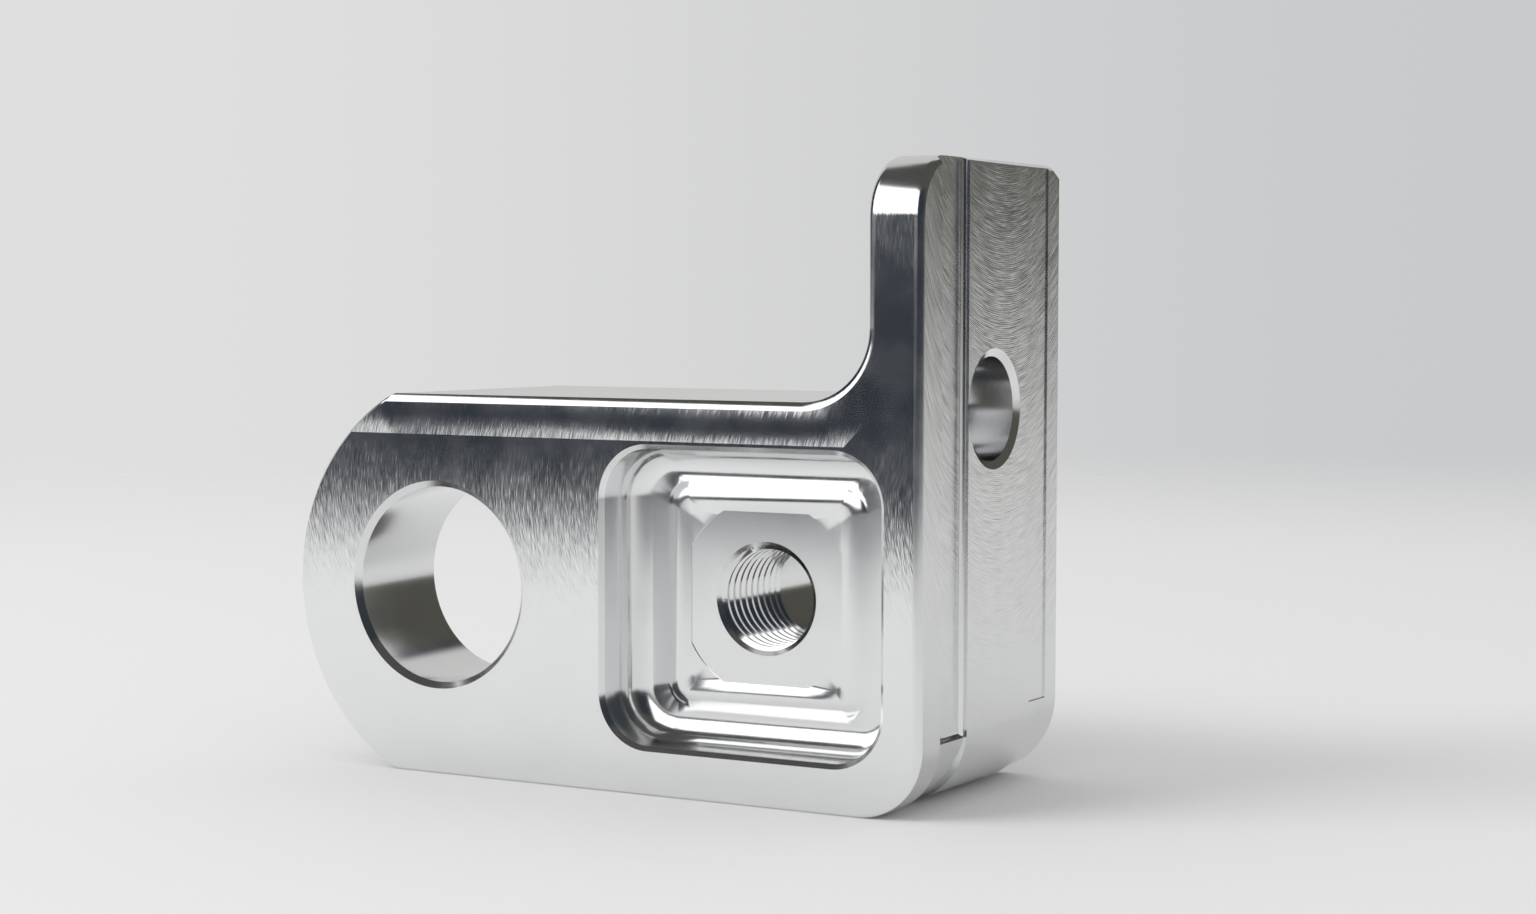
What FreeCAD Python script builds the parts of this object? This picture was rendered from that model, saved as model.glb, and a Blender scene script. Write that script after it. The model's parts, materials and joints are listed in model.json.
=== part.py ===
import FreeCAD, Part
import math
import os
import Sketcher

os.makedirs("parts", exist_ok=True)

# A machined aluminium bracket: a thick arm with a plain bore at its rounded end, a stepped square
# pocket round a tapped hole, and a thin upright at the other end. Millimetres, +Z up, the front
# face looks along -Y, and the origin lies under the middle of the part.

SIZES = {
    # outline, seen from the front
    "total_length": 94.5,
    "total_depth": 40.0,
    "total_height": 80.4,
    "arm_height": 50.4,
    "upright_thickness": 7.4,
    "inner_corner_radius": 9.2,
    "foot_radius_front": 8.9,
    "foot_radius_middle": 9.9,
    "foot_radius_channel": 11.0,
    "foot_radius_rear": 11.0,
    "foot_rear_start": 33.0,
    "foot_overcut": 1.0,
    "end_radius": 28.0,
    "crown_radius": 7.5,
    "crown_back_height": 1.1,
    "crown_back_reach": 2.1,
    "crown_side_break": 0.7,
    "edge_break": 0.4,
    # plain bore in the rounded end, and the recess behind it
    "bore_diameter": 26.0,
    "bore_from_right": 71.5,
    "bore_bevel": 0.8,
    "lug_thickness": 17.5,
    "flange_thickness": 5.2,
    "recess_wall_from_right": 50.0,
    "recess_corner_radius": 6.0,
    "recess_floor_radius": 2.0,
    # front pocket, its ring and its floor
    "tap_from_right": 25.5,
    "pocket_width": 39.8,
    "pocket_height": 37.8,
    "pocket_corner_radius": 6.6,
    "pocket_depth": 7.5,
    "pocket_floor_radius": 3.2,
    "pocket_bevel": 0.6,
    "ring_foot_width": 29.4,
    "ring_foot_radius": 3.4,
    "ring_shoulder_width": 27.2,
    "ring_shoulder_radius": 2.3,
    "ring_shoulder_depth": 7.0,
    "ring_crest_width": 24.6,
    "ring_crest_radius": 1.4,
    "ring_crest_depth": 6.8,
    "ring_floor_width": 21.9,
    "ring_floor_radius": 0.9,
    "floor_depth": 7.15,
    "spot_face_diameter": 25.2,
    "spot_face_step": 0.12,
    # tapped hole M14 x 1.5 and the clearance bore behind it
    "tap_drill": 12.5,
    "tap_mouth": 14.5,
    "tap_mouth_angle": 90.0,
    "thread_end_depth": 22.0,
    "clearance_bore": 14.5,
    "clearance_bevel": 0.5,
    # right-hand face
    "side_bore_diameter": 13.2,
    "side_bore_mouth": 15.2,
    "side_bore_mouth_angle": 120.0,
    "side_bore_height": 49.3,
    "side_bore_from_front": 20.3,
    "side_bore_depth": 6.6,
    "channel_start": 5.4,
    "channel_end": 12.85,
    "channel_depth": 1.0,
    "channel_foot": 8.9,
    "channel_fillet": 0.7,
    "back_groove_start": 31.2,
    "back_groove_end": 36.2,
    "back_groove_depth": 0.2,
    "back_groove_foot": 11.0,
}

doc = FreeCAD.newDocument("machined_bracket")
sheet = doc.addObject("Spreadsheet::Sheet", "sizes")
for row, (alias, size) in enumerate(SIZES.items(), start=1):
    sheet.set(f"A{row}", alias)
    sheet.set(f"B{row}", str(size))
    sheet.setAlias(f"B{row}", alias)
doc.recompute()

body = doc.addObject("PartDesign::Body", "bracket_body")
body.Label = "bracket_body"

RIGHT = SIZES["total_length"] / 2
FRONT = "sizes.total_depth / 2"
CENTRE_HEIGHT = SIZES["arm_height"] / 2


def origin_plane(role):
    return next(item for item in body.Origin.OriginFeatures if item.Role == role)


def new_sketch(name, role, offset="0"):
    """A sketch on one of the body's origin planes, moved along the plane's normal."""
    sketch = body.newObject("Sketcher::SketchObject", name)
    sketch.AttachmentSupport = [(origin_plane(role), "")]
    sketch.MapMode = "FlatFace"
    sketch.setExpression("AttachmentOffset.Base.z", offset)
    doc.recompute()
    return sketch


def point(x, y):
    return FreeCAD.Vector(x, y, 0)


def add_line(sketch, start, end):
    return sketch.addGeometry(Part.LineSegment(point(*start), point(*end)), False)


def add_arc(sketch, centre, radius, start_angle, end_angle):
    circle = Part.Circle(point(*centre), FreeCAD.Vector(0, 0, 1), radius)
    arc = Part.ArcOfCircle(circle, math.radians(start_angle), math.radians(end_angle))
    return sketch.addGeometry(arc, False)


def bind(sketch, name, constraint, expression):
    """Add a named dimension to a sketch and tie it to the sheet."""
    index = sketch.addConstraint(constraint)
    sketch.renameConstraint(index, name)
    sketch.setExpression(f"Constraints.{name}", expression)


def finish_sketch(sketch):
    doc.recompute()
    if sketch.solve() != 0:
        raise RuntimeError(f"{sketch.Name} does not solve")
    return sketch


def rounded_rectangle(sketch, centre, width, height, radius, names):
    """A rectangle with four equal rounded corners, held by its width, height, radius and centre.

    names gives the sheet expressions for centre x, centre y, width, height and radius.
    """
    cx, cy = centre
    x0, x1 = cx - width / 2, cx + width / 2
    y0, y1 = cy - height / 2, cy + height / 2
    sides = [
        add_line(sketch, (x0 + radius, y0), (x1 - radius, y0)),
        add_line(sketch, (x1, y0 + radius), (x1, y1 - radius)),
        add_line(sketch, (x1 - radius, y1), (x0 + radius, y1)),
        add_line(sketch, (x0, y1 - radius), (x0, y0 + radius)),
    ]
    corners = [
        add_arc(sketch, (x1 - radius, y0 + radius), radius, 270, 360),
        add_arc(sketch, (x1 - radius, y1 - radius), radius, 0, 90),
        add_arc(sketch, (x0 + radius, y1 - radius), radius, 90, 180),
        add_arc(sketch, (x0 + radius, y0 + radius), radius, 180, 270),
    ]
    for index, corner in enumerate(corners):
        before, after = sides[index], sides[(index + 1) % 4]
        sketch.addConstraint(Sketcher.Constraint("Tangent", before, 2, corner, 1))
        sketch.addConstraint(Sketcher.Constraint("Tangent", corner, 2, after, 1))
        if index:
            sketch.addConstraint(Sketcher.Constraint("Equal", corners[0], corner))
    for index, side in enumerate(sides):
        direction = "Vertical" if index % 2 else "Horizontal"
        sketch.addConstraint(Sketcher.Constraint(direction, side))
    centre_x, centre_y, wide, high, corner_radius = names
    bind(sketch, "corner", Sketcher.Constraint("Radius", corners[0], radius), corner_radius)
    bind(sketch, "left", Sketcher.Constraint("DistanceX", -1, 1, sides[3], 1, x0),
         f"{centre_x} - {wide} / 2")
    bind(sketch, "right", Sketcher.Constraint("DistanceX", -1, 1, sides[1], 1, x1),
         f"{centre_x} + {wide} / 2")
    bind(sketch, "bottom", Sketcher.Constraint("DistanceY", -1, 1, sides[0], 1, y0),
         f"{centre_y} - {high} / 2")
    bind(sketch, "top", Sketcher.Constraint("DistanceY", -1, 1, sides[2], 1, y1),
         f"{centre_y} + {high} / 2")
    return finish_sketch(sketch)


def circle_sketch(name, role, offset, centre, diameter, centre_x, centre_y, diameter_expression):
    sketch = new_sketch(name, role, offset)
    circle = Part.Circle(point(*centre), FreeCAD.Vector(0, 0, 1), diameter / 2)
    round_edge = sketch.addGeometry(circle, False)
    bind(sketch, "diameter", Sketcher.Constraint("Diameter", round_edge, diameter),
         diameter_expression)
    bind(sketch, "across", Sketcher.Constraint("DistanceX", -1, 1, round_edge, 3, centre[0]),
         centre_x)
    bind(sketch, "up", Sketcher.Constraint("DistanceY", -1, 1, round_edge, 3, centre[1]),
         centre_y)
    return finish_sketch(sketch)


def pocket(name, profile, length_expression, reverse=False, through=False):
    """Cut a sketch into the body, and make sure that it takes something away."""
    before = body.Shape.Volume
    cut = body.newObject("PartDesign::Pocket", name)
    cut.Profile = profile
    cut.Reversed = reverse
    if through:
        cut.Type = "ThroughAll"
    else:
        cut.setExpression("Length", length_expression)
    doc.recompute()
    if not body.Shape.Volume < before:
        raise RuntimeError(f"{name} cuts nothing")
    return cut


def edges_where(feature, test):
    """Names of a feature's edges whose ends and middle all pass the test."""
    names = []
    for index, edge in enumerate(feature.Shape.Edges, start=1):
        first, last = edge.ParameterRange
        probes = [edge.valueAt(first + (last - first) * step / 4) for step in range(5)]
        if all(test(probe) for probe in probes):
            names.append(f"Edge{index}")
    if not names:
        raise RuntimeError(f"no edge of {feature.Name} passes the test")
    return names


def near(a, b, slack=0.02):
    return abs(a - b) < slack


def soften(kind, name, base, edges, size_property, expression):
    """A fillet or chamfer on some edges of the feature before it."""
    volume = body.Shape.Volume
    softened = body.newObject(f"PartDesign::{kind}", name)
    softened.Base = (base, edges)
    softened.setExpression(size_property, expression)
    doc.recompute()
    if near(body.Shape.Volume, volume, 1e-6):
        raise RuntimeError(f"{name} changes nothing")
    return softened


# ---------------------------------------------------------------- outline
def outline_sketch():
    """The L-shaped face: rounded end on the left, upright and rounded foot on the right."""
    size = SIZES
    sketch = new_sketch("outline", "XZ_Plane")
    top, arm = size["total_height"], size["arm_height"]
    inner = size["inner_corner_radius"]
    foot = size["foot_radius_front"]
    upright = RIGHT - size["upright_thickness"]
    end_x = size["end_radius"] - RIGHT
    reach = math.sqrt(size["end_radius"] ** 2 - CENTRE_HEIGHT**2)
    half_angle = math.degrees(math.asin(CENTRE_HEIGHT / size["end_radius"]))
    base_line = add_line(sketch, (end_x - reach, 0), (RIGHT - foot, 0))
    foot_arc = add_arc(sketch, (RIGHT - foot, foot), foot, 270, 360)
    right_line = add_line(sketch, (RIGHT, foot), (RIGHT, top))
    top_line = add_line(sketch, (RIGHT, top), (upright, top))
    upright_line = add_line(sketch, (upright, top), (upright, arm + inner))
    inner_arc = add_arc(sketch, (upright - inner, arm + inner), inner, 270, 360)
    arm_line = add_line(sketch, (upright - inner, arm), (end_x - reach, arm))
    end_arc = add_arc(sketch, (end_x, CENTRE_HEIGHT), size["end_radius"],
                      180 - half_angle, 180 + half_angle)
    for kind, first, first_end, second, second_end in (
        ("Tangent", base_line, 2, foot_arc, 1),
        ("Tangent", foot_arc, 2, right_line, 1),
        ("Coincident", right_line, 2, top_line, 1),
        ("Coincident", top_line, 2, upright_line, 1),
        ("Tangent", upright_line, 2, inner_arc, 2),
        ("Tangent", inner_arc, 1, arm_line, 1),
        ("Coincident", arm_line, 2, end_arc, 1),
        ("Coincident", end_arc, 2, base_line, 1),
    ):
        sketch.addConstraint(Sketcher.Constraint(kind, first, first_end, second, second_end))
    for kind, line in (("Horizontal", base_line), ("Vertical", right_line),
                       ("Horizontal", top_line), ("Vertical", upright_line),
                       ("Horizontal", arm_line)):
        sketch.addConstraint(Sketcher.Constraint(kind, line))
    sketch.addConstraint(Sketcher.Constraint("PointOnObject", base_line, 1, -1))
    bind(sketch, "right_face", Sketcher.Constraint("DistanceX", -1, 1, right_line, 1, RIGHT),
         "sizes.total_length / 2")
    bind(sketch, "height", Sketcher.Constraint("DistanceY", -1, 1, right_line, 2, top),
         "sizes.total_height")
    bind(sketch, "arm", Sketcher.Constraint("DistanceY", -1, 1, arm_line, 1, arm),
         "sizes.arm_height")
    bind(sketch, "thickness",
         Sketcher.Constraint("DistanceX", upright_line, 1, right_line, 2, RIGHT - upright),
         "sizes.upright_thickness")
    bind(sketch, "foot", Sketcher.Constraint("Radius", foot_arc, foot),
         "sizes.foot_radius_front")
    bind(sketch, "inner", Sketcher.Constraint("Radius", inner_arc, inner),
         "sizes.inner_corner_radius")
    bind(sketch, "end", Sketcher.Constraint("Radius", end_arc, size["end_radius"]),
         "sizes.end_radius")
    bind(sketch, "end_up", Sketcher.Constraint("DistanceY", -1, 1, end_arc, 3, CENTRE_HEIGHT),
         "sizes.arm_height / 2")
    bind(sketch, "end_across", Sketcher.Constraint("DistanceX", end_arc, 3, -1, 1, -end_x),
         "sizes.total_length / 2 - sizes.end_radius")
    return finish_sketch(sketch)


blank = body.newObject("PartDesign::Pad", "blank")
blank.Profile = outline_sketch()
blank.SideType = "Symmetric"
blank.setExpression("Length", "sizes.total_depth")
doc.recompute()


def foot_sketch(name, start, radius_name):
    """What lies outside one of the larger foot radii, from a distance behind the front face."""
    sketch = new_sketch(name, "XZ_Plane", f"{FRONT} - {start}")
    radius = SIZES[radius_name]
    outside = SIZES["foot_overcut"]
    corners = [
        (RIGHT, radius),
        (RIGHT, radius + outside),
        (RIGHT + outside, radius + outside),
        (RIGHT + outside, -outside),
        (RIGHT - radius, -outside),
        (RIGHT - radius, 0),
    ]
    lines = [add_line(sketch, a, b) for a, b in zip(corners, corners[1:])]
    arc = add_arc(sketch, (RIGHT - radius, radius), radius, 270, 360)
    for first, second in zip(lines, lines[1:]):
        sketch.addConstraint(Sketcher.Constraint("Coincident", first, 2, second, 1))
    sketch.addConstraint(Sketcher.Constraint("Coincident", lines[-1], 2, arc, 1))
    sketch.addConstraint(Sketcher.Constraint("Tangent", arc, 2, lines[0], 1))
    for index, line in enumerate(lines):
        direction = "Horizontal" if index % 2 else "Vertical"
        sketch.addConstraint(Sketcher.Constraint(direction, line))
    sketch.addConstraint(Sketcher.Constraint("PointOnObject", arc, 1, -1))
    sketch.addConstraint(Sketcher.Constraint("Vertical", arc, 3, arc, 1))
    bind(sketch, "foot", Sketcher.Constraint("Radius", arc, radius), f"sizes.{radius_name}")
    bind(sketch, "face", Sketcher.Constraint("DistanceX", -1, 1, arc, 2, RIGHT),
         "sizes.total_length / 2")
    bind(sketch, "above", Sketcher.Constraint("DistanceY", lines[0], 1, lines[0], 2, outside),
         "sizes.foot_overcut")
    bind(sketch, "beside", Sketcher.Constraint("DistanceX", -1, 1, lines[2], 1, RIGHT + outside),
         "sizes.total_length / 2 + sizes.foot_overcut")
    bind(sketch, "below", Sketcher.Constraint("DistanceY", lines[4], 1, lines[4], 2, outside),
         "sizes.foot_overcut")
    return finish_sketch(sketch)


middle_foot = foot_sketch("middle_foot_face", "sizes.channel_start", "foot_radius_middle")
pocket("middle_foot", middle_foot, "", through=True)
channel_foot = foot_sketch("channel_foot_face", "sizes.channel_start", "foot_radius_channel")
pocket("channel_foot", channel_foot, "sizes.channel_end - sizes.channel_start")
rear_foot = foot_sketch("rear_foot_face", "sizes.foot_rear_start", "foot_radius_rear")
pocket("rear_foot", rear_foot, "", through=True)

half_depth = SIZES["total_depth"] / 2
top_height = SIZES["total_height"]

crown = soften(
    "Fillet", "crown_round", body.Tip,
    edges_where(body.Tip, lambda p: near(p.z, top_height) and near(p.y, -half_depth)),
    "Radius", "sizes.crown_radius")
crown = soften(
    "Chamfer", "crown_back", crown,
    edges_where(crown, lambda p: near(p.z, top_height) and near(p.y, half_depth)),
    "Size", "sizes.crown_back_reach")
crown.ChamferType = "Two distances"
crown.setExpression("Size2", "sizes.crown_back_height")
doc.recompute()


def on_crown_side(p):
    """True on the rounded side edges of the crown."""
    crown_start = top_height - SIZES["crown_radius"]
    on_side = near(p.x, RIGHT) or near(p.x, RIGHT - SIZES["upright_thickness"])
    return on_side and p.z > crown_start - 0.02


def on_outline(p):
    return near(abs(p.y), half_depth)


crown = soften("Chamfer", "crown_sides", crown, edges_where(crown, on_crown_side), "Size",
               "sizes.crown_side_break")
soften("Chamfer", "edge_breaks", crown, edges_where(crown, on_outline), "Size",
       "sizes.edge_break")

# ---------------------------------------------------------------- recess behind the rounded end
rear_rest = "sizes.total_depth - sizes.lug_thickness"


def recess_sketch():
    """A slot from the rear, open on the left, with its right-hand corners rounded."""
    size = SIZES
    sketch = new_sketch("recess_face", "XZ_Plane", f"-({FRONT})")
    radius = size["recess_corner_radius"]
    wall = RIGHT - size["recess_wall_from_right"]
    mouth = -RIGHT - size["bore_bevel"]
    low = size["flange_thickness"]
    high = size["arm_height"] - low
    lower_side = add_line(sketch, (mouth, low), (wall - radius, low))
    lower_corner = add_arc(sketch, (wall - radius, low + radius), radius, 270, 360)
    end_wall = add_line(sketch, (wall, low + radius), (wall, high - radius))
    upper_corner = add_arc(sketch, (wall - radius, high - radius), radius, 0, 90)
    upper_side = add_line(sketch, (wall - radius, high), (mouth, high))
    mouth_line = add_line(sketch, (mouth, high), (mouth, low))
    for kind, first, first_end, second, second_end in (
        ("Tangent", lower_side, 2, lower_corner, 1),
        ("Tangent", lower_corner, 2, end_wall, 1),
        ("Tangent", end_wall, 2, upper_corner, 1),
        ("Tangent", upper_corner, 2, upper_side, 1),
        ("Coincident", upper_side, 2, mouth_line, 1),
        ("Coincident", mouth_line, 2, lower_side, 1),
    ):
        sketch.addConstraint(Sketcher.Constraint(kind, first, first_end, second, second_end))
    sketch.addConstraint(Sketcher.Constraint("Equal", lower_corner, upper_corner))
    for kind, line in (("Horizontal", lower_side), ("Vertical", end_wall),
                       ("Horizontal", upper_side), ("Vertical", mouth_line)):
        sketch.addConstraint(Sketcher.Constraint(kind, line))
    bind(sketch, "corner", Sketcher.Constraint("Radius", lower_corner, radius),
         "sizes.recess_corner_radius")
    bind(sketch, "low", Sketcher.Constraint("DistanceY", -1, 1, lower_side, 1, low),
         "sizes.flange_thickness")
    bind(sketch, "high", Sketcher.Constraint("DistanceY", -1, 1, upper_side, 1, high),
         "sizes.arm_height - sizes.flange_thickness")
    bind(sketch, "wall", Sketcher.Constraint("DistanceX", end_wall, 1, -1, 1, -wall),
         "sizes.recess_wall_from_right - sizes.total_length / 2")
    bind(sketch, "mouth", Sketcher.Constraint("DistanceX", mouth_line, 1, -1, 1, -mouth),
         "sizes.total_length / 2 + sizes.bore_bevel")
    return finish_sketch(sketch)


recess = pocket("recess", recess_sketch(), rear_rest, reverse=True)
lug_back = SIZES["lug_thickness"] - half_depth
flange = SIZES["flange_thickness"]


def on_recess_floor(p):
    inside_walls = flange - 0.02 < p.z < SIZES["arm_height"] - flange + 0.02
    at_wall = p.x > RIGHT - SIZES["recess_wall_from_right"] - SIZES["recess_corner_radius"] - 0.02
    at_flange = near(p.z, flange) or near(p.z, SIZES["arm_height"] - flange)
    return near(p.y, lug_back) and inside_walls and (at_wall or at_flange)


recess_floor = soften("Fillet", "recess_floor_round", recess,
                      edges_where(recess, on_recess_floor), "Radius",
                      "sizes.recess_floor_radius")

# ---------------------------------------------------------------- plain bore
bore_x = RIGHT - SIZES["bore_from_right"]
bore_across = "sizes.total_length / 2 - sizes.bore_from_right"
centre_up = "sizes.arm_height / 2"
bore = pocket(
    "plain_bore",
    circle_sketch("bore_face", "XZ_Plane", FRONT, (bore_x, CENTRE_HEIGHT),
                  SIZES["bore_diameter"], bore_across, centre_up, "sizes.bore_diameter"),
    "sizes.lug_thickness + sizes.recess_floor_radius")


def on_bore_rim(p):
    on_wall = near(math.hypot(p.x - bore_x, p.z - CENTRE_HEIGHT), SIZES["bore_diameter"] / 2)
    return on_wall and (near(p.y, -half_depth) or near(p.y, lug_back))


soften("Chamfer", "bore_bevels", bore, edges_where(bore, on_bore_rim), "Size", "sizes.bore_bevel")

# ---------------------------------------------------------------- stepped pocket and its ring
tap_x = RIGHT - SIZES["tap_from_right"]
tap_across = "sizes.total_length / 2 - sizes.tap_from_right"
pocket_face = new_sketch("pocket_face", "XZ_Plane", FRONT)
rounded_rectangle(pocket_face, (tap_x, CENTRE_HEIGHT), SIZES["pocket_width"],
                  SIZES["pocket_height"], SIZES["pocket_corner_radius"],
                  (tap_across, centre_up, "sizes.pocket_width", "sizes.pocket_height",
                   "sizes.pocket_corner_radius"))
front_pocket = pocket("front_pocket", pocket_face, "sizes.pocket_depth")
pocket_bottom = SIZES["pocket_depth"] - half_depth
pocket_floor = soften(
    "Fillet", "pocket_floor_round", front_pocket,
    edges_where(front_pocket, lambda p: near(p.y, pocket_bottom)), "Radius",
    "sizes.pocket_floor_radius")


def on_pocket_rim(p):
    across = abs(p.x - tap_x) < SIZES["pocket_width"] / 2 + 0.02
    up = abs(p.z - CENTRE_HEIGHT) < SIZES["pocket_height"] / 2 + 0.02
    return near(p.y, -half_depth) and across and up


soften("Chamfer", "pocket_bevel", pocket_floor, edges_where(pocket_floor, on_pocket_rim), "Size",
       "sizes.pocket_bevel")


def square_at(name, depth, width, radius):
    """A rounded square round the tapped hole, at a depth behind the front face."""
    sketch = new_sketch(name, "XZ_Plane", f"{FRONT} - {depth}")
    return rounded_rectangle(sketch, (tap_x, CENTRE_HEIGHT), SIZES[width], SIZES[width],
                             SIZES[radius], (tap_across, centre_up, f"sizes.{width}",
                                             f"sizes.{width}", f"sizes.{radius}"))


def loft(kind, name, sections):
    volume = body.Shape.Volume
    lofted = body.newObject(f"PartDesign::{kind}", name)
    lofted.Profile = sections[0]
    lofted.Sections = sections[1:]
    lofted.Ruled = True
    doc.recompute()
    grew = body.Shape.Volume > volume
    if grew != (kind == "AdditiveLoft"):
        raise RuntimeError(f"{name} works the wrong way")
    return lofted


ring_foot = square_at("ring_foot", "sizes.pocket_depth", "ring_foot_width", "ring_foot_radius")
ring_shoulder = square_at("ring_shoulder", "sizes.ring_shoulder_depth", "ring_shoulder_width",
                          "ring_shoulder_radius")
ring_crest = square_at("ring_crest", "sizes.ring_crest_depth", "ring_crest_width",
                       "ring_crest_radius")
loft("AdditiveLoft", "ring_outside", [ring_foot, ring_shoulder, ring_crest])
ring_mouth = square_at("ring_mouth", "sizes.ring_crest_depth", "ring_crest_width",
                       "ring_crest_radius")
ring_floor = square_at("ring_floor", "sizes.floor_depth", "ring_floor_width",
                       "ring_floor_radius")
loft("SubtractiveLoft", "ring_inside", [ring_mouth, ring_floor])


def spot_face_sketch():
    """A circle round the tapped hole, cut off by the four sides of the ring's floor."""
    sketch = new_sketch("spot_face_edge", "XZ_Plane", f"{FRONT} - sizes.floor_depth")
    radius = SIZES["spot_face_diameter"] / 2
    half = SIZES["ring_floor_width"] / 2
    cut = math.sqrt(radius**2 - half**2)
    lean = math.degrees(math.asin(cut / radius))
    corners = [(half, -cut), (half, cut), (cut, half), (-cut, half),
               (-half, cut), (-half, -cut), (-cut, -half), (cut, -half)]
    placed = [(tap_x + x, CENTRE_HEIGHT + y) for x, y in corners]
    sides = [add_line(sketch, placed[2 * turn], placed[2 * turn + 1]) for turn in range(4)]
    arcs = [add_arc(sketch, (tap_x, CENTRE_HEIGHT), radius, 90 * turn + lean,
                    90 * turn + 90 - lean) for turn in range(4)]
    for turn in range(4):
        side, arc = sides[turn], arcs[turn]
        following = sides[(turn + 1) % 4]
        direction = "Horizontal" if turn % 2 else "Vertical"
        sketch.addConstraint(Sketcher.Constraint("Coincident", side, 2, arc, 1))
        sketch.addConstraint(Sketcher.Constraint("Coincident", arc, 2, following, 1))
        sketch.addConstraint(Sketcher.Constraint(direction, side))
        if turn:
            sketch.addConstraint(Sketcher.Constraint("Coincident", arcs[0], 3, arc, 3))
            sketch.addConstraint(Sketcher.Constraint("Equal", arcs[0], arc))
    bind(sketch, "radius", Sketcher.Constraint("Radius", arcs[0], radius),
         "sizes.spot_face_diameter / 2")
    bind(sketch, "across", Sketcher.Constraint("DistanceX", -1, 1, arcs[0], 3, tap_x), tap_across)
    bind(sketch, "up", Sketcher.Constraint("DistanceY", -1, 1, arcs[0], 3, CENTRE_HEIGHT),
         centre_up)
    for name, kind, side, first, second in (
        ("right", "DistanceX", sides[0], (arcs[0], 3), (sides[0], 1)),
        ("top", "DistanceY", sides[1], (arcs[0], 3), (sides[1], 1)),
        ("left", "DistanceX", sides[2], (sides[2], 1), (arcs[0], 3)),
        ("bottom", "DistanceY", sides[3], (sides[3], 1), (arcs[0], 3)),
    ):
        bind(sketch, name, Sketcher.Constraint(kind, *first, *second, half),
             "sizes.ring_floor_width / 2")
    return finish_sketch(sketch)


pocket("spot_face", spot_face_sketch(), "sizes.spot_face_step")

# ---------------------------------------------------------------- tapped hole
spot_depth = "sizes.floor_depth + sizes.spot_face_step"


def hole(name, centre, properties, expressions):
    """A drilled hole with the given plain properties and sheet expressions."""
    before = body.Shape.Volume
    drilled = body.newObject("PartDesign::Hole", name)
    drilled.Profile = centre
    for key, setting in properties:
        setattr(drilled, key, setting)
    for key, expression in expressions:
        drilled.setExpression(key, expression)
    doc.recompute()
    if not body.Shape.Volume < before:
        raise RuntimeError(f"{name} cuts nothing")
    return drilled


tap_centre = circle_sketch("tap_centre", "XZ_Plane", f"{FRONT} - ({spot_depth})",
                           (tap_x, CENTRE_HEIGHT), SIZES["tap_drill"], tap_across, centre_up,
                           "sizes.tap_drill")
hole("tapped_hole", tap_centre, (
    ("ThreadType", "None"),
    ("DepthType", "Dimension"),
    ("DrillPoint", "Flat"),
    ("HoleCutType", "Countersink"),
    ("HoleCutCustomValues", True),
), (
    ("Diameter", "sizes.tap_drill"),
    ("Depth", f"sizes.thread_end_depth - ({spot_depth})"),
    ("HoleCutDiameter", "sizes.tap_mouth"),
    ("HoleCutCountersinkAngle", "sizes.tap_mouth_angle"),
))
clearance_face = circle_sketch("clearance_face", "XZ_Plane", f"-({FRONT})",
                               (tap_x, CENTRE_HEIGHT), SIZES["clearance_bore"], tap_across,
                               centre_up, "sizes.clearance_bore")
clearance = pocket("clearance_bore", clearance_face,
                   "sizes.total_depth - sizes.thread_end_depth", reverse=True)


def on_clearance_mouth(p):
    on_wall = near(math.hypot(p.x - tap_x, p.z - CENTRE_HEIGHT), SIZES["clearance_bore"] / 2)
    return on_wall and near(p.y, half_depth)


soften("Chamfer", "clearance_bevel", clearance, edges_where(clearance, on_clearance_mouth),
       "Size", "sizes.clearance_bevel")

# ---------------------------------------------------------------- right-hand face
side_face = "sizes.total_length / 2"
side_bore_y = SIZES["side_bore_from_front"] - half_depth
side_centre = circle_sketch("side_bore_centre", "YZ_Plane", side_face,
                            (side_bore_y, SIZES["side_bore_height"]),
                            SIZES["side_bore_diameter"],
                            "sizes.side_bore_from_front - sizes.total_depth / 2",
                            "sizes.side_bore_height", "sizes.side_bore_diameter")
hole("side_bore", side_centre, (
    ("ThreadType", "None"),
    ("DepthType", "Dimension"),
    ("DrillPoint", "Flat"),
    ("HoleCutType", "Countersink"),
    ("HoleCutCustomValues", True),
), (
    ("Diameter", "sizes.side_bore_diameter"),
    ("Depth", "sizes.side_bore_depth"),
    ("HoleCutDiameter", "sizes.side_bore_mouth"),
    ("HoleCutCountersinkAngle", "sizes.side_bore_mouth_angle"),
))


def strip_sketch(name, start, end, foot):
    """An upright strip of the right-hand face, from its foot to above the top."""
    sketch = new_sketch(name, "YZ_Plane", side_face)
    y0 = SIZES[start] - half_depth
    y1 = SIZES[end] - half_depth
    z0 = SIZES[foot]
    z1 = top_height + SIZES["foot_overcut"]
    corners = [(y0, z0), (y1, z0), (y1, z1), (y0, z1), (y0, z0)]
    lines = [add_line(sketch, a, b) for a, b in zip(corners, corners[1:])]
    for index, line in enumerate(lines):
        direction = "Vertical" if index % 2 else "Horizontal"
        sketch.addConstraint(Sketcher.Constraint(direction, line))
        sketch.addConstraint(Sketcher.Constraint("Coincident", line, 2,
                                                 lines[(index + 1) % 4], 1))
    bind(sketch, "start", Sketcher.Constraint("DistanceX", -1, 1, lines[3], 1, y0),
         f"sizes.{start} - sizes.total_depth / 2")
    bind(sketch, "end", Sketcher.Constraint("DistanceX", -1, 1, lines[1], 1, y1),
         f"sizes.{end} - sizes.total_depth / 2")
    bind(sketch, "foot", Sketcher.Constraint("DistanceY", -1, 1, lines[0], 1, z0),
         f"sizes.{foot}")
    bind(sketch, "above", Sketcher.Constraint("DistanceY", -1, 1, lines[2], 1, z1),
         "sizes.total_height + sizes.foot_overcut")
    return finish_sketch(sketch)


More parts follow.
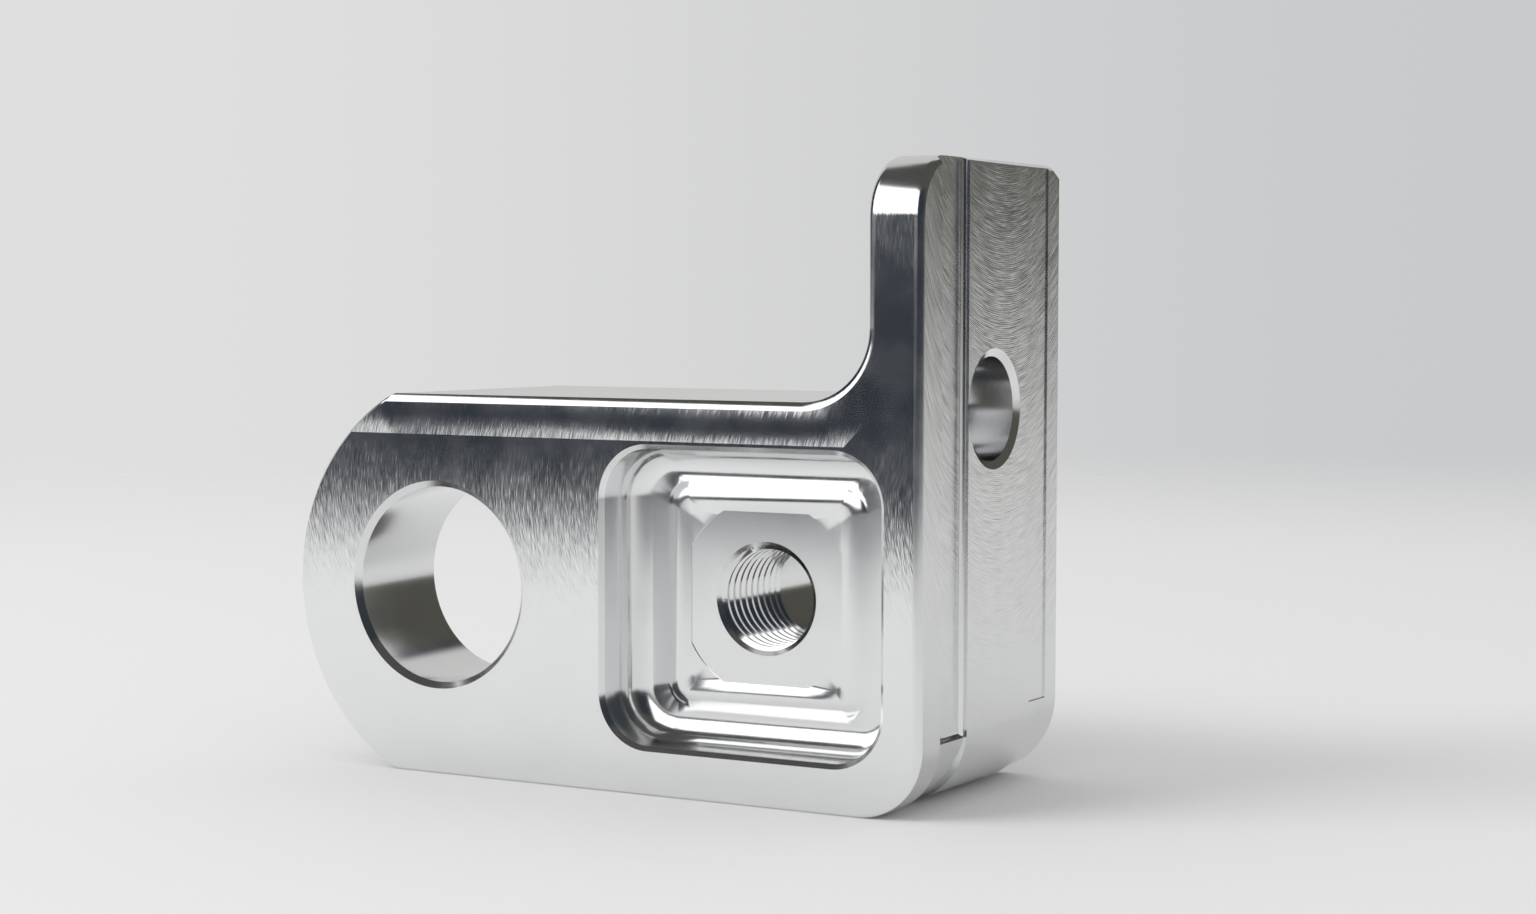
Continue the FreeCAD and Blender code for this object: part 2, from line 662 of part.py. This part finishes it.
channel = pocket("channel", strip_sketch("channel_face", "channel_start", "channel_end",
                                         "channel_foot"), "sizes.channel_depth")
channel_floor = RIGHT - SIZES["channel_depth"]
channel_rear = SIZES["channel_end"] - half_depth


channel_front = SIZES["channel_start"] - half_depth


def on_channel_foot(p):
    at_wall = near(p.y, channel_rear) or near(p.y, channel_front)
    return near(p.x, channel_floor) and (at_wall or near(p.z, SIZES["channel_foot"]))


soften("Fillet", "channel_round", channel, edges_where(channel, on_channel_foot), "Radius",
       "sizes.channel_fillet")
pocket("back_groove", strip_sketch("back_groove_face", "back_groove_start",
                                   "back_groove_end", "back_groove_foot"),
       "sizes.back_groove_depth")

# ---------------------------------------------------------------- hand over
doc.recompute()
for item in doc.Objects:
    if "Invalid" in item.State or "Error" in item.State:
        raise RuntimeError(f"{item.Name} is in error")
if body.Shape.isNull() or not body.Shape.isValid() or len(body.Shape.Solids) != 1:
    raise RuntimeError("the bracket is not one sound solid")
body.Shape.exportStep(f"parts/{body.Label}.step")
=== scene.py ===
import json
import math

import bmesh
import bpy
from bpy.props import FloatProperty, FloatVectorProperty, IntProperty, PointerProperty
from mathutils import Matrix, Vector


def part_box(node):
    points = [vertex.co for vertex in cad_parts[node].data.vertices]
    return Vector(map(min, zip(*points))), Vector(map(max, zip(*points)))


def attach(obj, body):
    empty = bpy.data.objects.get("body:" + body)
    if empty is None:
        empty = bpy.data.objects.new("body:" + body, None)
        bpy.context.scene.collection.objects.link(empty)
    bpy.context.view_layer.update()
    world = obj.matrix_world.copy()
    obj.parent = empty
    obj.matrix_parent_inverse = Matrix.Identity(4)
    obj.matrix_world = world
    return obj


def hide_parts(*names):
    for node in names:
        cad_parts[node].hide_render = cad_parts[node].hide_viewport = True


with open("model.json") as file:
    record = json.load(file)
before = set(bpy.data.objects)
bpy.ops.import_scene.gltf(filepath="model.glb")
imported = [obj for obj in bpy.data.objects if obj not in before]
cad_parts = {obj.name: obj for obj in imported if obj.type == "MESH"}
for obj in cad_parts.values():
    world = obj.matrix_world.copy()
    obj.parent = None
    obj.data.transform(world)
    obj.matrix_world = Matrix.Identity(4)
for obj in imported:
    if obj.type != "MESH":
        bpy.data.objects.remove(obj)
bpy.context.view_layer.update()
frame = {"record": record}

bl_info = {
    "name": "Machined Bracket",
    "version": (1, 0, 0),
    "blender": (4, 5, 0),
    "location": "View3D > Sidebar > Bracket",
    "description": "Dresses a machined aluminium bracket with its thread and its cutter marks",
    "category": "Object",
}

NODE = "bracket_body"
LOW, HIGH = (Vector(corner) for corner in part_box(NODE))
FRONT = LOW.y
RIGHT = HIGH.x
MOUNTS = {mount["name"]: mount for mount in frame["record"]["mounts"]}
TAP = Vector(MOUNTS["tapped_hole"]["pos_m"])
MM = 0.001
FLAT = 0.995  # how squarely a facet must face the front or the side to belong to that face

# cutter marks: how closely they lie, how far they run on, and how much each one leans the face
MARK_FINE = 5.0
MARK_COARSE = 9.0
MARK_STRETCH = 0.06
MARK_LEAN = 0.22
MARK_TWIST = 0.075
MARK_RIPPLE = 0.15

# round marks in millimetres: the middle of their bow, and the bow's radius
FRONT_MARK_MIDDLE = 38
FRONT_MARK_RADIUS = 28
SIDE_MARK_MIDDLE = 3
SIDE_MARK_RADIUS = 24
LEAST_BOW = 4.0

# the dished strip along the arm's top edge, in millimetres above the floor
TOP_PASS_HIGH = 49.4
TOP_PASS_LOW = 45.6
TOP_PASS_EDGE = 45.1
TOP_PASS_MITRE = -8.4
TOP_PASS_LEAN = -0.045

# what the metal reflects: name, colour, then height and turn as low, high and softness in degrees.
# Height is above the horizon. Turn is 0 in front of the part, 90 on its right and -90 on its left.
EVERY_HEIGHT = (-400, 400, 1)
EVERY_TURN = (-400, 400, 1)
ROOM = (0.020, 0.026, 0.036)
SURROUNDINGS = (
    ("ceiling", (0.07, 0.07, 0.066), (44, 200, 3), EVERY_TURN),
    ("side room", (0.075, 0.073, 0.062), EVERY_HEIGHT, (60, 178, 6)),
    ("front softbox", (1.6, 1.6, 1.6), (5, 48, 0.8), (-75, 8, 2.0)),
    ("back wall", (0.62, 0.62, 0.61), (-20, 56, 3), (-174, -110, 5)),
    ("far floor on the right", (0.6, 0.6, 0.58), (-200, -0.5, 0.5), (60, 260, 6)),
    ("far floor on the left", (0.6, 0.6, 0.58), (-200, -0.5, 0.5), (-260, -60, 6)),
)
SOFT_LIGHT = (0.80, 0.80, 0.80)

# painted shade: the backdrop darkens along a level direction, across the view from left to right
BACKDROP_ACROSS = Vector((0.867, 0.498, 0))
BACKDROP_SOFTNESS = 0.26
BACKDROP_LIGHT = (0.74, 0.74, 0.74)
# colour of the painted shade on the right of the backdrop
BACKDROP_PAINTED_SHADE = (0.585, 0.59, 0.60)

KEY_PLACE = Vector((-0.8, -0.9, 0.9))
KEY_AIM = Vector((0, 0, 0.02))
KEY_POWER = 10
KEY_WIDTH = 0.9
KEY_HEIGHT = 0.6

CAMERA_PLACE = (0.1953, -0.3142, 0.0628)
CAMERA_LENS = 64.88
CAMERA_SENSOR = 36
CAMERA_TURN = 29.89
CAMERA_DOWN = 3.235
CAMERA_ROLL = 0.11


# ---------------------------------------------------------------- settings
class BracketSizes(bpy.types.PropertyGroup):
    """Sizes of the thread and of the tapped hole that it lines."""

    thread_pitch: FloatProperty(
        name="Thread pitch", description="Advance of the thread in one turn",
        default=0.0015, min=0.0005, unit="LENGTH", precision=5)
    thread_root: FloatProperty(
        name="Thread root radius", description="Radius of the bottom of the thread groove",
        default=0.0070, unit="LENGTH", precision=5)
    thread_crest: FloatProperty(
        name="Thread crest radius", description="Radius of the tapping bore",
        default=0.00625, unit="LENGTH", precision=5)
    thread_mouth: FloatProperty(
        name="Thread mouth radius", description="Radius of the countersink and of the bore behind",
        default=0.00725, unit="LENGTH", precision=5)
    thread_start: FloatProperty(
        name="Thread start", description="Depth of the spot face behind the front face",
        default=0.00727, unit="LENGTH", precision=5)
    thread_end: FloatProperty(
        name="Thread end", description="Depth of the last thread behind the front face",
        default=0.022, unit="LENGTH", precision=5)
    thread_steps: IntProperty(
        name="Steps per turn", description="Facets in one turn of the thread",
        default=72, min=24, max=128)


class BracketFinish(bpy.types.PropertyGroup):
    """Colour and cutter marks of the bare metal."""

    metal: FloatVectorProperty(
        name="Metal", description="Colour of the bare aluminium",
        subtype="COLOR", size=3, default=(0.86, 0.865, 0.87), min=0, max=1)
    feed: FloatProperty(
        name="Feed", description="Distance between two cutter marks on the front face",
        default=0.00025, unit="LENGTH", precision=6)
    roughness: FloatProperty(
        name="Roughness", description="Roughness of a milled face between its marks",
        default=0.16, min=0, max=1)


class BracketStage(bpy.types.PropertyGroup):
    """Floor colour and the table's size and fade."""

    floor: FloatVectorProperty(
        name="Floor", description="Colour of the floor", subtype="COLOR", size=3,
        default=(0.80, 0.80, 0.80), min=0, max=1)
    table_front: FloatProperty(
        name="Table front", description="How far the white table reaches in front",
        default=0.36, unit="LENGTH")
    table_width: FloatProperty(
        name="Table width", description="Width of the table from left to right",
        default=6.0, unit="LENGTH")
    table_depth: FloatProperty(
        name="Table depth", description="Depth of the table from front to back",
        default=3.36, unit="LENGTH")
    clear_from: FloatProperty(
        name="Clear from", description="Distance at which the table starts to fade away",
        default=0.30, unit="LENGTH")
    clear_to: FloatProperty(
        name="Clear to", description="Distance at which the table has faded away",
        default=0.85, unit="LENGTH")


# ---------------------------------------------------------------- mesh helpers
def only(obj):
    """Make one object the selected and active one."""
    if bpy.context.mode != "OBJECT":
        bpy.ops.object.mode_set(mode="OBJECT")
    bpy.ops.object.select_all(action="DESELECT")
    obj.select_set(True)
    bpy.context.view_layer.objects.active = obj


def merged_copy(node, name):
    """A copy of a CAD node with its loose triangles joined, its flats kept flat."""
    source = bpy.data.objects[node]
    piece = bpy.data.objects.new(name, source.data.copy())
    piece.data.name = name
    piece.data.materials.clear()
    bpy.context.collection.objects.link(piece)
    only(piece)
    bpy.ops.mesh.customdata_custom_splitnormals_clear()
    bpy.ops.object.mode_set(mode="EDIT")
    bpy.ops.mesh.select_all(action="SELECT")
    bpy.ops.mesh.remove_doubles(threshold=0.000002)
    bpy.ops.mesh.dissolve_degenerate(threshold=0.000002)
    bpy.ops.object.mode_set(mode="OBJECT")
    return piece


def smooth(piece, degrees):
    """Smooth shading between facets, with sharp edges and true flats."""
    only(piece)
    bpy.ops.object.shade_smooth_by_angle(angle=math.radians(degrees))
    weight = piece.modifiers.new("flats", "WEIGHTED_NORMAL")
    weight.mode = "FACE_AREA"
    weight.keep_sharp = True
    bpy.ops.object.modifier_apply(modifier=weight.name)


def select_vertices(piece, test):
    """Select the vertices that pass a test, in edit mode."""
    only(piece)
    bpy.ops.object.mode_set(mode="EDIT")
    bpy.ops.mesh.select_mode(type="VERT")
    bpy.ops.mesh.select_all(action="DESELECT")
    mesh = bmesh.from_edit_mesh(piece.data)
    for vertex in mesh.verts:
        vertex.select = test(vertex.co)
    mesh.select_flush(True)
    bmesh.update_edit_mesh(piece.data)


def from_axis(point, axis_point):
    """Distance from an axis that runs from front to back."""
    return math.hypot(point.x - axis_point.x, point.z - axis_point.z)


# ---------------------------------------------------------------- materials
class Shader:
    """A material's node tree with short ways to add and join nodes."""

    def __init__(self, name):
        self.material = bpy.data.materials.new(name)
        self.material.use_nodes = True
        self.tree = self.material.node_tree
        self.metal = self.tree.nodes["Principled BSDF"]
        coordinates = self.add("ShaderNodeTexCoord")
        self.place = coordinates.outputs["Object"]
        split = self.add("ShaderNodeSeparateXYZ")
        self.join(self.place, split.inputs[0])
        self.x, self.y, self.z = split.outputs

    def add(self, kind, **settings):
        """Add a node with its settings."""
        node = self.tree.nodes.new(kind)
        for key, value in settings.items():
            setattr(node, key, value)
        return node

    def join(self, source, socket):
        """Feed a socket from another one, or set it to a plain value."""
        if isinstance(source, bpy.types.NodeSocket):
            self.tree.links.new(source, socket)
        else:
            socket.default_value = source

    def math(self, operation, *values, clamp=False):
        node = self.add("ShaderNodeMath", operation=operation, use_clamp=clamp)
        for value, socket in zip(values, node.inputs):
            self.join(value, socket)
        return node.outputs[0]

    def plus(self, a, b):
        return self.math("ADD", a, b)

    def minus(self, a, b):
        return self.math("SUBTRACT", a, b)

    def times(self, a, b):
        return self.math("MULTIPLY", a, b)

    def ramp(self, value, low, high, to_low=0.0, to_high=1.0):
        """A smooth step from one value to another as the input rises from low to high."""
        node = self.add("ShaderNodeMapRange", interpolation_type="SMOOTHSTEP")
        for source, socket in zip((value, low, high, to_low, to_high), node.inputs):
            self.join(source, socket)
        return node.outputs[0]

    def noise(self, place, scale, detail):
        """Cloudy values between 0 and 1."""
        node = self.add("ShaderNodeTexNoise")
        self.join(place, node.inputs["Vector"])
        node.inputs["Scale"].default_value = scale
        node.inputs["Detail"].default_value = detail
        return node.outputs["Fac"]

    def blend_colour(self, factor, low, high):
        """A mix of two plain colours."""
        node = self.add("ShaderNodeMix", data_type="RGBA")
        self.join(factor, node.inputs["Factor"])
        self.join((*low, 1), node.inputs["A"])
        self.join((*high, 1), node.inputs["B"])
        return node.outputs["Result"]

    def lean(self, normal, amount, direction):
        """Lean a surface direction by an amount along a fixed direction."""
        scaled = self.add("ShaderNodeVectorMath", operation="SCALE")
        scaled.inputs[0].default_value = direction
        self.join(amount, scaled.inputs["Scale"])
        total = self.add("ShaderNodeVectorMath", operation="ADD")
        self.join(normal, total.inputs[0])
        self.join(scaled.outputs[0], total.inputs[1])
        return total.outputs[0]


def bare_metal(name, roughness=None):
    """Bare aluminium with a faint, uneven haze."""
    finish = bpy.context.scene.bracket_finish
    shader = Shader(name)
    shader.metal.inputs["Metallic"].default_value = 1.0
    haze = shader.noise(shader.place, 180, 3)
    dark = [channel * 0.94 for channel in finish.metal]
    shader.join(shader.blend_colour(haze, dark, finish.metal), shader.metal.inputs["Base Color"])
    base = finish.roughness if roughness is None else roughness
    shader.join(shader.ramp(haze, 0.3, 0.7, base * 0.9, base * 1.1), shader.metal.inputs["Roughness"])
    return shader


def milled(name, across, along, tilt_across, tilt_along, roughness=None, dish=None):
    """Bare metal with cutter marks: each mark leans the face over and down its own line.

    across gives the distance over the marks and along the distance down them, both in
    millimetres. The two tilts are the directions in which a mark leans the surface. dish
    gives a broad lean of the surface on top of the marks."""
    finish = bpy.context.scene.bracket_finish
    shader = bare_metal(name, roughness)
    over = across(shader)
    spot = shader.add("ShaderNodeCombineXYZ")
    shader.join(over, spot.inputs[0])
    shader.join(shader.times(along(shader), MARK_STRETCH), spot.inputs[1])
    shader.join(over, spot.inputs[2])
    fine, coarse = (shader.minus(shader.noise(spot.outputs[0], scale, 1.0), 0.5)
                    for scale in (MARK_FINE, MARK_COARSE))
    ripple = shader.math("SINE", shader.times(over, math.tau * MM / finish.feed))
    wave = shader.times(ripple, MARK_RIPPLE * MARK_LEAN)
    normal = shader.add("ShaderNodeNewGeometry").outputs["Normal"]
    normal = shader.lean(normal, shader.plus(shader.times(fine, MARK_LEAN), wave), tilt_across)
    normal = shader.lean(normal, shader.times(coarse, MARK_TWIST), tilt_along)
    if dish:
        normal = shader.lean(normal, dish(shader), tilt_along)
    unit = shader.add("ShaderNodeVectorMath", operation="NORMALIZE")
    shader.join(normal, unit.inputs[0])
    shader.join(unit.outputs[0], shader.metal.inputs["Normal"])
    return shader


def arc_marks(shader, run, side, centre, radius):
    """Distance over the round marks that a cutter leaves as it runs along one axis."""
    offset = shader.minus(shader.times(side, 1 / MM), centre)
    square = shader.minus(radius ** 2, shader.times(offset, offset))
    bow = shader.math("MAXIMUM", square, LEAST_BOW)
    return shader.plus(shader.times(run, 1 / MM), shader.math("SQRT", bow))


# ---------------------------------------------------------------- pieces
class BRACKET_OT_body(bpy.types.Operator):
    """Dress the machined body with its cutter marks"""

    bl_idname = "bracket.body"
    bl_label = "Bracket body"

    def execute(self, context):
        sizes = context.scene.bracket_sizes
        piece = merged_copy(NODE, "bracket")
        crest, mouth = sizes.thread_crest, sizes.thread_mouth
        start, end = FRONT + sizes.thread_start, FRONT + sizes.thread_end

        def on_tapped_wall(co):
            in_span = start + 0.5 * MM < co.y < end + 0.05 * MM
            return in_span and abs(from_axis(co, TAP) - crest) < 0.05 * MM

        select_vertices(piece, on_tapped_wall)
        widen = mouth / crest
        bpy.ops.transform.resize(value=(widen, 1, widen), center_override=(TAP.x, TAP.y, TAP.z))
        bpy.ops.mesh.select_all(action="SELECT")
        bpy.ops.mesh.remove_doubles(threshold=0.00002)
        bpy.ops.mesh.dissolve_degenerate(threshold=0.00002)
        bpy.ops.object.mode_set(mode="OBJECT")
        smooth(piece, 28)
        for material in (bare_metal("bare metal").material, self.front_metal(), self.side_metal()):
            piece.data.materials.append(material)
        for face in piece.data.polygons:
            if face.normal.y < -FLAT and face.center.y < FRONT + 0.05 * MM:
                face.material_index = 1
            elif face.normal.x > FLAT and face.center.x > RIGHT - 1.2 * MM:
                face.material_index = 2
        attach(piece, "root")
        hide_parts(NODE)
        return {"FINISHED"}


    def front_metal(self):
        """Front face, milled from right to left in round marks."""
        return milled("front milling",
                      lambda shader: arc_marks(shader, shader.x, shader.z,
                                               FRONT_MARK_MIDDLE, FRONT_MARK_RADIUS),
                      lambda shader: shader.times(shader.z, 1 / MM),
                      (1, 0, 0), (0, 0, 1), 0.12, self.top_pass).material

    def top_pass(self, shader):
        """The strip along the arm's top edge, cut by a second pass that dished it slightly."""
        height = shader.times(shader.z, 1 / MM)
        dish = shader.ramp(height, TOP_PASS_HIGH, TOP_PASS_LOW, 0.0, TOP_PASS_LEAN)
        strip = shader.math("GREATER_THAN", height, TOP_PASS_EDGE)
        mitre = shader.minus(shader.times(shader.x, 1 / MM), height)
        before = shader.math("LESS_THAN", mitre, TOP_PASS_MITRE)
        return shader.times(dish, shader.times(strip, before))

    def side_metal(self):
        """Right face, milled upwards in fine level marks."""
        return milled("side milling",
                      lambda shader: arc_marks(shader, shader.z, shader.y,
                                               SIDE_MARK_MIDDLE, SIDE_MARK_RADIUS),
                      lambda shader: shader.times(shader.y, 1 / MM),
                      (0, 0, 1), (0, 1, 0), 0.24).material


class BRACKET_OT_thread(bpy.types.Operator):
    """Cut the thread into a ring that lines the tapped hole"""

    bl_idname = "bracket.thread"
    bl_label = "Thread"

    def execute(self, context):
        sizes = context.scene.bracket_sizes
        start, end = FRONT + sizes.thread_start, FRONT + sizes.thread_end
        crest, mouth, pitch = sizes.thread_crest, sizes.thread_mouth, sizes.thread_pitch
        section = [(mouth, start), (mouth, end), (crest, end), (crest, start + mouth - crest)]
        ring = self.turned("thread_ring", section, 96)
        root = sizes.thread_root
        inside = crest - 0.3 * MM
        reach = root - inside
        slope = reach * math.tan(math.radians(30))
        flat = pitch / 16
        cutter = self.screwed("thread_cutter", [(root, flat), (root, -flat),
                              (inside, -flat - slope), (inside, flat + slope)],
                              start - 1.2 * pitch, (end - start) / pitch + 2.6, pitch,
                              sizes.thread_steps)
        only(ring)
        cut = ring.modifiers.new("thread", "BOOLEAN")
        cut.operation = "DIFFERENCE"
        cut.solver = "EXACT"
        cut.object = cutter
        bpy.ops.object.modifier_apply(modifier=cut.name)
        bpy.data.objects.remove(cutter)
        smooth(ring, 30)
        ring.data.materials.append(bare_metal("thread metal", 0.12).material)
        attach(ring, "root")
        return {"FINISHED"}

    def profile(self, name, section, along):
        """A closed outline in the plane of the hole's axis; section is radius and distance."""
        mesh = bpy.data.meshes.new(name)
        corners = [(TAP.x + radius, along + distance, TAP.z) for radius, distance in section]
        count = len(corners)
        mesh.from_pydata(corners, [(i, (i + 1) % count) for i in range(count)], [])
        piece = bpy.data.objects.new(name, mesh)
        bpy.context.collection.objects.link(piece)
        return piece

    def turned(self, name, section, steps):
        """Turn a closed outline round the hole's axis into a ring."""
        piece = self.profile(name, section, 0.0)
        only(piece)
        bpy.ops.object.mode_set(mode="EDIT")
        bpy.ops.mesh.select_all(action="SELECT")
        bpy.ops.mesh.spin(steps=steps, angle=math.tau, center=TAP, axis=(0, 1, 0))
        bpy.ops.mesh.select_all(action="SELECT")
        bpy.ops.mesh.remove_doubles(threshold=0.000002)
        bpy.ops.mesh.normals_make_consistent(inside=False)
        bpy.ops.object.mode_set(mode="OBJECT")
        return piece

    def screwed(self, name, section, along, turns, pitch, steps):
        """Sweep a closed outline along a helix round the hole's axis."""
        mesh = bpy.data.meshes.new(name)
        count = len(section)
        total = int(turns * steps)
        corners = []
        for step in range(total + 1):
            angle = math.tau * step / steps
            for radius, distance in section:
                corners.append((TAP.x + radius * math.cos(angle),
                                along + distance + pitch * step / steps,
                                TAP.z + radius * math.sin(angle)))
        faces = [tuple(reversed(range(count)))]
        for step in range(total):
            base = step * count
            for side in range(count):
                other = (side + 1) % count
                faces.append((base + side, base + other, base + count + other,
                              base + count + side))
        faces.append(tuple(range(total * count, total * count + count)))
        mesh.from_pydata(corners, [], faces)
        piece = bpy.data.objects.new(name, mesh)
        bpy.context.collection.objects.link(piece)
        only(piece)
        bpy.ops.object.mode_set(mode="EDIT")
        bpy.ops.mesh.select_all(action="SELECT")
        bpy.ops.mesh.normals_make_consistent(inside=False)
        bpy.ops.object.mode_set(mode="OBJECT")
        return piece


class BRACKET_OT_stage(bpy.types.Operator):
    """Set the floor, the studio light and the camera"""

    bl_idname = "bracket.stage"
    bl_label = "Stage"

    def execute(self, context):
        stage = context.scene.bracket_stage
        self.floor(stage)
        self.world(context)
        self.lamps()
        self.camera(context)
        context.scene.view_settings.view_transform = "Standard"
        return {"FINISHED"}

    def floor(self, stage):
        bpy.ops.object.select_all(action="DESELECT")
        bpy.ops.mesh.primitive_plane_add(size=1, location=(0, 0, 0))
        table = bpy.context.object
        table.name = "table"
        bpy.ops.object.mode_set(mode="EDIT")
        bpy.ops.transform.resize(value=(stage.table_width, stage.table_depth, 1))
        bpy.ops.transform.translate(
            value=(0, 0.5 * stage.table_depth - stage.table_front, -0.00002))
        bpy.ops.object.mode_set(mode="OBJECT")
        shader = Shader("table white")
        shader.metal.inputs["Roughness"].default_value = 0.7
        shader.metal.inputs["Specular IOR Level"].default_value = 0.2
        speck = shader.noise(shader.place, 900, 2)
        white = tuple(stage.floor)
        shade = tuple(channel * 0.985 for channel in white)
        shader.join(shader.blend_colour(speck, shade, white), shader.metal.inputs["Base Color"])
        # the far floor dissolves into the backdrop, so that no horizon shows
        away = shader.add("ShaderNodeVectorMath", operation="LENGTH")
        shader.join(shader.place, away.inputs[0])
        clear = shader.add("ShaderNodeBsdfTransparent")
        blend = shader.add("ShaderNodeMixShader")
        shader.join(shader.ramp(away.outputs["Value"], stage.clear_from, stage.clear_to),
                    blend.inputs[0])
        shader.join(shader.metal.outputs[0], blend.inputs[1])
        shader.join(clear.outputs[0], blend.inputs[2])
        shader.join(blend.outputs[0], shader.tree.nodes["Material Output"].inputs["Surface"])
        table.data.materials.append(shader.material)

    def world(self, context):
        """Light from all round, a studio for the metal to reflect, and a backdrop with painted shade.
        """
        world = bpy.data.worlds.new("studio")
        context.scene.world = world
        world.use_nodes = True
        tree = world.node_tree
        tree.nodes.clear()
        output = tree.nodes.new("ShaderNodeOutputWorld")
        texture = tree.nodes.new("ShaderNodeTexCoord")
        split = tree.nodes.new("ShaderNodeSeparateXYZ")
        tree.links.new(texture.outputs["Generated"], split.inputs[0])

        def calc(operation, *values):
            node = tree.nodes.new("ShaderNodeMath")
            node.operation = operation
            for value, socket in zip(values, node.inputs):
                if isinstance(value, bpy.types.NodeSocket):
                    tree.links.new(value, socket)
                else:
                    socket.default_value = value
            return node.outputs[0]

        def between(value, low, high, soft):
            """1 inside a range and 0 outside, with soft edges."""
            rise = tree.nodes.new("ShaderNodeMapRange")
            rise.interpolation_type = "SMOOTHSTEP"
            fall = tree.nodes.new("ShaderNodeMapRange")
            fall.interpolation_type = "SMOOTHSTEP"
            for node, edge, to in ((rise, low, (0, 1)), (fall, high, (1, 0))):
                tree.links.new(value, node.inputs[0])
                node.inputs[1].default_value = edge - soft
                node.inputs[2].default_value = edge + soft
                node.inputs[3].default_value, node.inputs[4].default_value = to
            return calc("MULTIPLY", rise.outputs[0], fall.outputs[0])

        def mix(factor, low, high):
            node = tree.nodes.new("ShaderNodeMix")
            node.data_type = "RGBA"
            tree.links.new(factor, node.inputs["Factor"])
            for value, socket in ((low, node.inputs["A"]), (high, node.inputs["B"])):
                if isinstance(value, bpy.types.NodeSocket):
                    tree.links.new(value, socket)
                else:
                    socket.default_value = (*value, 1)
            return node.outputs["Result"]

        across, away, up = split.outputs
        height = calc("MULTIPLY", calc("ARCSINE", up), 180 / math.pi)
        turn = calc("MULTIPLY", calc("ARCTAN2", across, calc("MULTIPLY", away, -1)),
                    180 / math.pi)
        seen = ROOM
        for name, colour, heights, turns in SURROUNDINGS:
            seen = mix(calc("MULTIPLY", between(height, *heights), between(turn, *turns)),
                       seen, colour)
            seen.node.label = name
        paths = tree.nodes.new("ShaderNodeLightPath")
        lit = mix(paths.outputs["Is Glossy Ray"], SOFT_LIGHT, seen)
        # painted shade: the backdrop seen by the camera darkens from left to right
        sideways = calc("ADD", calc("MULTIPLY", across, BACKDROP_ACROSS.x),
                        calc("MULTIPLY", away, BACKDROP_ACROSS.y))
        backdrop_painted_shade = mix(between(sideways, 0.0, 9.0, BACKDROP_SOFTNESS), BACKDROP_LIGHT, BACKDROP_PAINTED_SHADE)
        shown = mix(paths.outputs["Is Camera Ray"], lit, backdrop_painted_shade)
        light = tree.nodes.new("ShaderNodeBackground")
        tree.links.new(shown, light.inputs["Color"])
        tree.links.new(light.outputs[0], output.inputs["Surface"])

    def lamps(self):
        lamp = bpy.data.lights.new("key", "AREA")
        lamp.energy = KEY_POWER
        lamp.shape = "RECTANGLE"
        lamp.size = KEY_WIDTH
        lamp.size_y = KEY_HEIGHT
        key = bpy.data.objects.new("key", lamp)
        bpy.context.collection.objects.link(key)
        key.location = KEY_PLACE
        direction = KEY_AIM - KEY_PLACE
        key.rotation_euler = direction.to_track_quat("-Z", "Y").to_euler()
        key.visible_glossy = False

    def camera(self, context):
        lens = bpy.data.cameras.new("camera")
        lens.lens = CAMERA_LENS
        lens.sensor_width = CAMERA_SENSOR
        lens.clip_start = 0.01
        camera = bpy.data.objects.new("camera", lens)
        bpy.context.collection.objects.link(camera)
        turn = Matrix.Rotation(math.radians(CAMERA_TURN), 4, "Z")
        tip = Matrix.Rotation(math.radians(90 - CAMERA_DOWN), 4, "X")
        roll = Matrix.Rotation(math.radians(CAMERA_ROLL), 4, "Z")
        camera.matrix_world = Matrix.Translation(CAMERA_PLACE) @ turn @ tip @ roll
        context.scene.camera = camera


class BRACKET_PT_panel(bpy.types.Panel):
    """Buttons for the bracket's pieces and its stage"""

    bl_idname = "BRACKET_PT_panel"
    bl_label = "Machined Bracket"
    bl_space_type = "VIEW_3D"
    bl_region_type = "UI"
    bl_category = "Bracket"

    def draw(self, context):
        scene = context.scene
        for group in (scene.bracket_sizes, scene.bracket_finish, scene.bracket_stage):
            box = self.layout.box()
            for key in group.bl_rna.properties.keys():
                if key not in {"rna_type", "name"}:
                    box.prop(group, key)
        for operator in OPERATORS:
            self.layout.operator(operator.bl_idname)


GROUPS = (BracketSizes, BracketFinish, BracketStage)
OPERATORS = (BRACKET_OT_body, BRACKET_OT_thread, BRACKET_OT_stage)
CLASSES = (*GROUPS, *OPERATORS, BRACKET_PT_panel)


def register():
    for cls in CLASSES:
        bpy.utils.register_class(cls)
    bpy.types.Scene.bracket_sizes = PointerProperty(type=BracketSizes)
    bpy.types.Scene.bracket_finish = PointerProperty(type=BracketFinish)
    bpy.types.Scene.bracket_stage = PointerProperty(type=BracketStage)


def unregister():
    del bpy.types.Scene.bracket_stage
    del bpy.types.Scene.bracket_finish
    del bpy.types.Scene.bracket_sizes
    for cls in reversed(CLASSES):
        bpy.utils.unregister_class(cls)


def main():
    register()
    bpy.ops.bracket.body()
    bpy.ops.bracket.thread()
    bpy.ops.bracket.stage()


if __name__ == "__main__":
    main()
